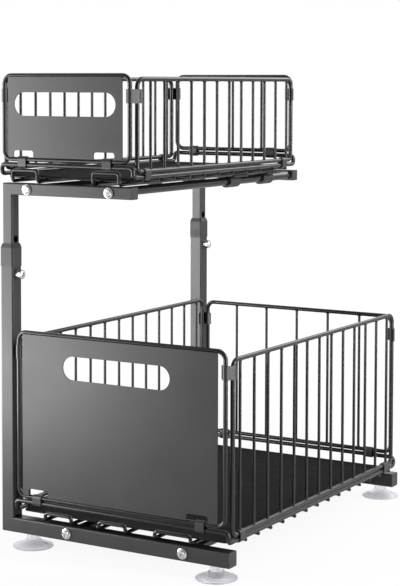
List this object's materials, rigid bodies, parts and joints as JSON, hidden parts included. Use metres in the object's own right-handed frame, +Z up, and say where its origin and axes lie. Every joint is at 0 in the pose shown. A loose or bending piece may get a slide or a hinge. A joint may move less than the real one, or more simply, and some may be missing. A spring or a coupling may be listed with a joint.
{
  "type": "pull-out cabinet basket",
  "caption": "Two-tier cabinet basket: wire baskets with sheet fronts slide out on round rails of a square-tube stand, the upper one on height-adjustable posts.",
  "frame": {"origin": "middle of the overall width and depth, at the rims of the suction cups", "axes": "+Z up, -Y the front with the sheet plates, the way the baskets pull out, -X the side with the posts"},
  "size_m": [0.2706, 0.412, 0.4787],
  "materials": {
    "black_enamel": "satin black enamel over steel",
    "black_plastic": "matt black moulding",
    "screw_chrome": "bright nickel plate",
    "mat_rubber": "matt dark grey non-slip mat",
    "cup_vinyl": "clear soft vinyl"
  },
  "bodies": {
    "frame": {"front_base_frame": "black_enamel", "rear_base_frame": "black_enamel", "front_base_end_cap": "black_plastic", "rear_base_end_cap": "black_plastic", "front_post_collar": "black_plastic", "rear_post_collar": "black_plastic", "height_lock_screws": "screw_chrome", "lower_rail_screws": "screw_chrome", "lower_left_rail": "black_enamel", "lower_right_rail": "black_enamel", "suction_cup_front_left": "cup_vinyl", "suction_cup_front_right": "cup_vinyl", "suction_cup_rear_left": "cup_vinyl", "suction_cup_rear_right": "cup_vinyl"},
    "upper_frame": {"front_upper_frame": "black_enamel", "rear_upper_frame": "black_enamel", "front_arm_end_cap": "black_plastic", "rear_arm_end_cap": "black_plastic", "upper_rail_screws": "screw_chrome", "upper_left_rail": "black_enamel", "upper_right_rail": "black_enamel"},
    "lower_basket": {"lower_base_ring": "black_enamel", "lower_floor_wires": "black_enamel", "lower_floor_mat": "mat_rubber", "lower_left_slide_shoes": "black_plastic", "lower_right_slide_shoes": "black_plastic", "lower_front_hinge_straps": "black_enamel", "lower_rear_hinge_straps": "black_enamel", "lower_left_hinge_straps": "black_enamel", "lower_right_hinge_straps": "black_enamel"},
    "lower_front": {"lower_front_frame": "black_enamel", "lower_front_plate": "black_enamel", "lower_front_corner_clips": "black_enamel"},
    "lower_rear": {"lower_rear_panel": "black_enamel", "lower_rear_corner_clips": "black_enamel"},
    "lower_left": {"lower_left_panel": "black_enamel"},
    "lower_right": {"lower_right_panel": "black_enamel"},
    "upper_basket": {"upper_base_ring": "black_enamel", "upper_floor_wires": "black_enamel", "upper_floor_mat": "mat_rubber", "upper_left_slide_shoes": "black_plastic", "upper_right_slide_shoes": "black_plastic", "upper_front_hinge_straps": "black_enamel", "upper_rear_hinge_straps": "black_enamel", "upper_left_hinge_straps": "black_enamel", "upper_right_hinge_straps": "black_enamel"},
    "upper_front": {"upper_front_frame": "black_enamel", "upper_front_plate": "black_enamel", "upper_front_corner_clips": "black_enamel"},
    "upper_rear": {"upper_rear_panel": "black_enamel", "upper_rear_corner_clips": "black_enamel"},
    "upper_left": {"upper_left_panel": "black_enamel"},
    "upper_right": {"upper_right_panel": "black_enamel"}
  },
  "joints": [
    {"name": "height_adjust", "type": "slide", "parent": "frame", "child": "upper_frame", "axis": [0, 0, 1], "range_m": [-0.0355, 0.071]},
    {"name": "lower_basket_slide", "type": "slide", "parent": "frame", "child": "lower_basket", "axis": [0, -1, 0], "range_m": [0, 0.2]},
    {"name": "lower_front_fold", "type": "hinge", "parent": "lower_basket", "child": "lower_front", "pos_m": [0.0082, -0.193, 0.0523], "axis": [1, 0, 0], "range_deg": [0, 90]},
    {"name": "lower_rear_fold", "type": "hinge", "parent": "lower_basket", "child": "lower_rear", "pos_m": [0.0082, 0.182, 0.0523], "axis": [-1, 0, 0], "range_deg": [0, 90]},
    {"name": "lower_left_fold", "type": "hinge", "parent": "lower_basket", "child": "lower_left", "pos_m": [-0.1155, -0.0055, 0.0429], "axis": [0, 1, 0], "range_deg": [0, 90]},
    {"name": "lower_right_fold", "type": "hinge", "parent": "lower_basket", "child": "lower_right", "pos_m": [0.1319, -0.0055, 0.0429], "axis": [0, -1, 0], "range_deg": [0, 86]},
    {"name": "upper_basket_slide", "type": "slide", "parent": "upper_frame", "child": "upper_basket", "axis": [0, -1, 0], "range_m": [0, 0.2]},
    {"name": "upper_front_fold", "type": "hinge", "parent": "upper_basket", "child": "upper_front", "pos_m": [-0.0533, -0.193, 0.3928], "axis": [1, 0, 0], "range_deg": [0, 90]},
    {"name": "upper_rear_fold", "type": "hinge", "parent": "upper_basket", "child": "upper_rear", "pos_m": [-0.0533, 0.138, 0.3928], "axis": [-1, 0, 0], "range_deg": [0, 90]},
    {"name": "upper_left_fold", "type": "hinge", "parent": "upper_basket", "child": "upper_left", "pos_m": [-0.1319, -0.0275, 0.3834], "axis": [0, 1, 0], "range_deg": [0, 90]},
    {"name": "upper_right_fold", "type": "hinge", "parent": "upper_basket", "child": "upper_right", "pos_m": [0.0253, -0.0275, 0.3834], "axis": [0, -1, 0], "range_deg": [0, 85.5]}
  ]
}
